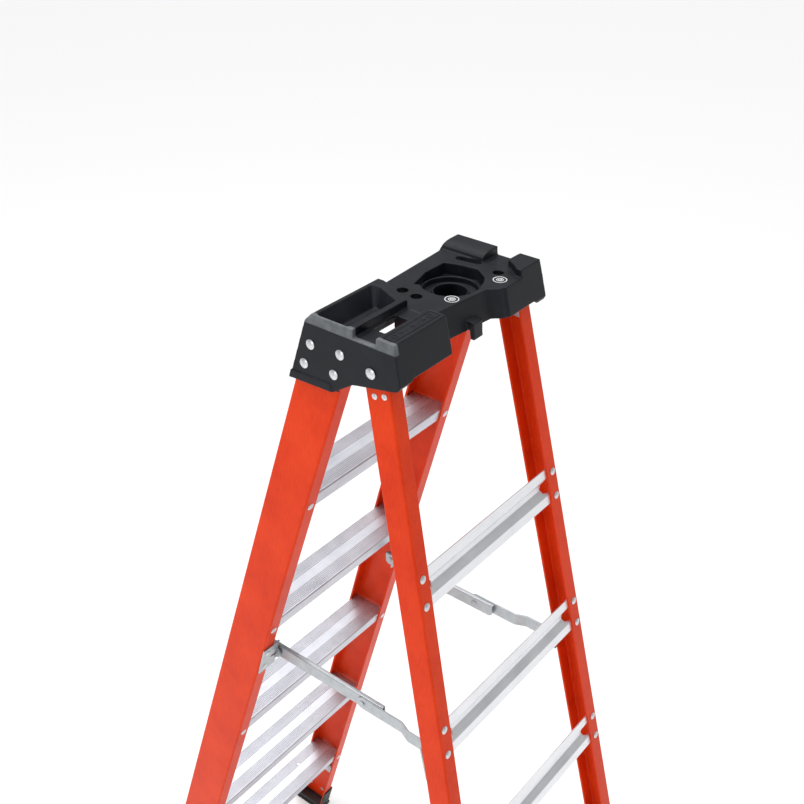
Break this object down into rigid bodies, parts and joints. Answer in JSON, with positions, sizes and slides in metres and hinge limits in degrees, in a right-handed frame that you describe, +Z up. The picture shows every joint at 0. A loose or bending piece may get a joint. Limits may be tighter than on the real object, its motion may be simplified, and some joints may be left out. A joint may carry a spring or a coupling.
{
  "type": "step ladder",
  "caption": "Folding step ladder with fibreglass channel rails, aluminium steps, a moulded tool-tray cap and folding spreaders.",
  "frame": {"origin": "on the floor, midway between the feet in both directions", "axes": "+Z up, X across the steps, the climbing side faces -Y"},
  "size_m": [0.5336, 1.028, 1.753],
  "materials": {
    "fibreglass": "gloss",
    "aluminium": "mill",
    "cap_plastic": "fine texture",
    "boot_plastic": "matte",
    "rubber_tread": "matte",
    "zinc_steel": "zinc plated",
    "rivet_metal": "satin"
  },
  "bodies": {
    "front_frame": {"cap_rivets": "rivet_metal", "front_boot_left": "boot_plastic", "front_boot_right": "boot_plastic", "front_bracket_rivets": "rivet_metal", "front_foot_rivets": "rivet_metal", "front_pad_left": "rubber_tread", "front_pad_right": "rubber_tread", "front_rail_left": "fibreglass", "front_rail_right": "fibreglass", "knee_brace_left": "zinc_steel", "knee_brace_right": "zinc_steel", "knee_brace_tread_rivets": "rivet_metal", "knee_brace_web_rivets": "rivet_metal", "pivot_pin_left": "rivet_metal", "pivot_pin_right": "rivet_metal", "pivot_washer_left": "zinc_steel", "pivot_washer_right": "zinc_steel", "spreader_front_bracket_left": "zinc_steel", "spreader_front_bracket_right": "zinc_steel", "spreader_front_pin_left": "zinc_steel", "spreader_front_pin_right": "zinc_steel", "step_1": "aluminium", "step_2": "aluminium", "step_3": "aluminium", "step_4": "aluminium", "step_5": "aluminium", "step_rivets": "rivet_metal", "top_cap": "cap_plastic"},
    "rear_frame": {"hinge_plate_left": "zinc_steel", "hinge_plate_right": "zinc_steel", "hinge_plate_rivets": "rivet_metal", "horizontal_rivets": "rivet_metal", "rear_boot_left": "boot_plastic", "rear_boot_right": "boot_plastic", "rear_bracket_rivets": "rivet_metal", "rear_foot_rivets": "rivet_metal", "rear_horizontal_1": "aluminium", "rear_horizontal_2": "aluminium", "rear_horizontal_3": "aluminium", "rear_horizontal_4": "aluminium", "rear_horizontal_5": "aluminium", "rear_pad_left": "rubber_tread", "rear_pad_right": "rubber_tread", "rear_rail_left": "fibreglass", "rear_rail_right": "fibreglass", "spreader_rear_bracket_left": "zinc_steel", "spreader_rear_bracket_right": "zinc_steel", "spreader_rear_pin_left": "zinc_steel", "spreader_rear_pin_right": "zinc_steel"},
    "spreader_front_right": {"spreader_front_link_right": "zinc_steel", "spreader_centre_pin_right": "zinc_steel"},
    "spreader_rear_right": {"spreader_rear_link_right": "zinc_steel", "spreader_centre_stud_right": "zinc_steel"},
    "spreader_front_left": {"spreader_front_link_left": "zinc_steel", "spreader_centre_pin_left": "zinc_steel"},
    "spreader_rear_left": {"spreader_rear_link_left": "zinc_steel", "spreader_centre_stud_left": "zinc_steel"}
  },
  "joints": [
    {"name": "rear_frame_fold", "type": "hinge", "parent": "front_frame", "child": "rear_frame", "pos_m": [0, 0.1227, 1.7], "axis": [-1, 0, 0], "range_deg": [0, 28.7]},
    {"name": "spreader_front_pivot_right", "type": "hinge", "parent": "front_frame", "child": "spreader_front_right", "pos_m": [0, -0.116, 1.0475], "axis": [1, 0, 0], "range_deg": [0, 61.05]},
    {"name": "spreader_rear_pivot_right", "type": "hinge", "parent": "rear_frame", "child": "spreader_rear_right", "pos_m": [0, 0.2444, 1.0475], "axis": [-1, 0, 0], "range_deg": [0, 84.1]},
    {"name": "spreader_front_pivot_left", "type": "hinge", "parent": "front_frame", "child": "spreader_front_left", "pos_m": [0, -0.116, 1.0475], "axis": [1, 0, 0], "range_deg": [0, 61.05]},
    {"name": "spreader_rear_pivot_left", "type": "hinge", "parent": "rear_frame", "child": "spreader_rear_left", "pos_m": [0, 0.2444, 1.0475], "axis": [-1, 0, 0], "range_deg": [0, 84.1]}
  ],
  "couplings": [
    {"joint": "spreader_front_pivot_right", "follows": "rear_frame_fold", "ratio": 2.1268},
    {"joint": "spreader_rear_pivot_right", "follows": "rear_frame_fold", "ratio": 2.9299},
    {"joint": "spreader_front_pivot_left", "follows": "rear_frame_fold", "ratio": 2.1268},
    {"joint": "spreader_rear_pivot_left", "follows": "rear_frame_fold", "ratio": 2.9299}
  ]
}
